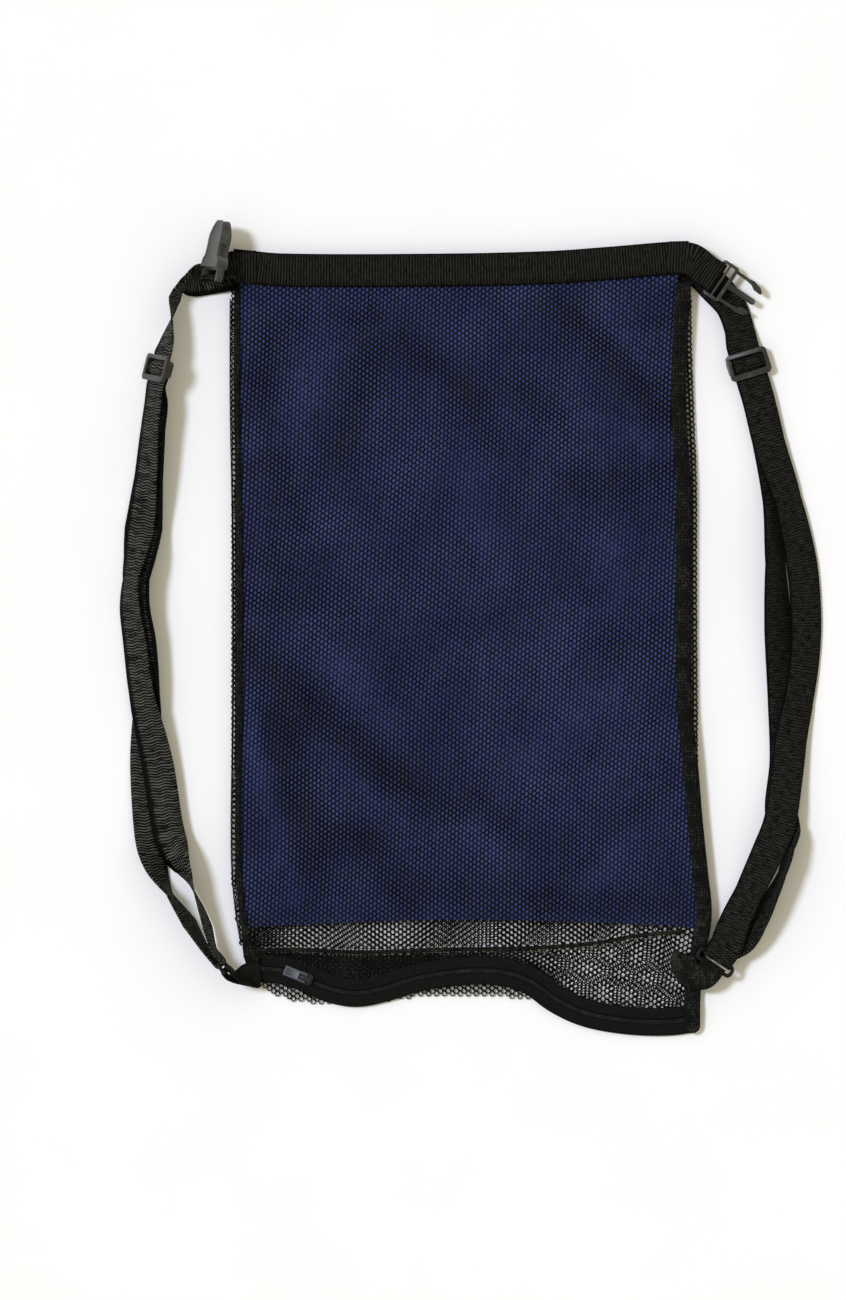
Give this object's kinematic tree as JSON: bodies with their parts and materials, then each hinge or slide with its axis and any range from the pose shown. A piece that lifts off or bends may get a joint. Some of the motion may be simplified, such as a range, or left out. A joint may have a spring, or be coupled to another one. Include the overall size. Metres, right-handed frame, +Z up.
{
  "type": "mesh backpack",
  "caption": "Flat net backpack with a lined front, a webbing mouth band with an open side-release buckle, webbing shoulder straps with sliders and rings, and a zip along the bottom.",
  "frame": {"origin": "under the middle of the whole object, on the floor it lies on", "axes": "+Y from the zip to the mouth, +X to the right as the front is seen, +Z up out of the front"},
  "size_m": [0.5335, 0.619, 0.0387],
  "materials": {
    "net": "knitted net with hexagonal holes",
    "lining": "plain navy cloth",
    "webbing": "ribbed webbing",
    "tape": "folded binding tape",
    "coil": "satin",
    "pull": "satin paint",
    "plastic": "moulded, fine grain"
  },
  "bodies": {
    "bag": {"back_net": "net", "front_net": "net", "lining": "lining", "gusset_left": "net", "gusset_right": "net", "bottom_net_front": "net", "bottom_net_back": "net", "top_band_front": "webbing", "top_band_back": "webbing", "side_binding_left": "tape", "side_binding_right": "tape", "seam_binding": "tape", "zip_tape_front": "tape", "zip_tape_back": "tape", "zip_coil": "coil", "zip_slider": "coil", "buckle_tab_left": "webbing", "buckle_tab_right": "webbing", "buckle_female": "plastic", "buckle_male": "plastic", "strap_left": "webbing", "strap_right": "webbing", "triglide_left": "plastic", "triglide_right": "plastic", "ring_left": "plastic", "ring_right": "plastic", "ring_tab_left": "webbing", "ring_tab_right": "webbing"},
    "pull": {"zip_pull": "pull"}
  },
  "joints": [
    {"name": "zip_pull_hinge", "type": "hinge", "parent": "bag", "child": "pull", "pos_m": [-0.12647, -0.2662, 0.01114], "axis": [0.379, 0.9254, 0], "range_deg": [0, 170]}
  ]
}
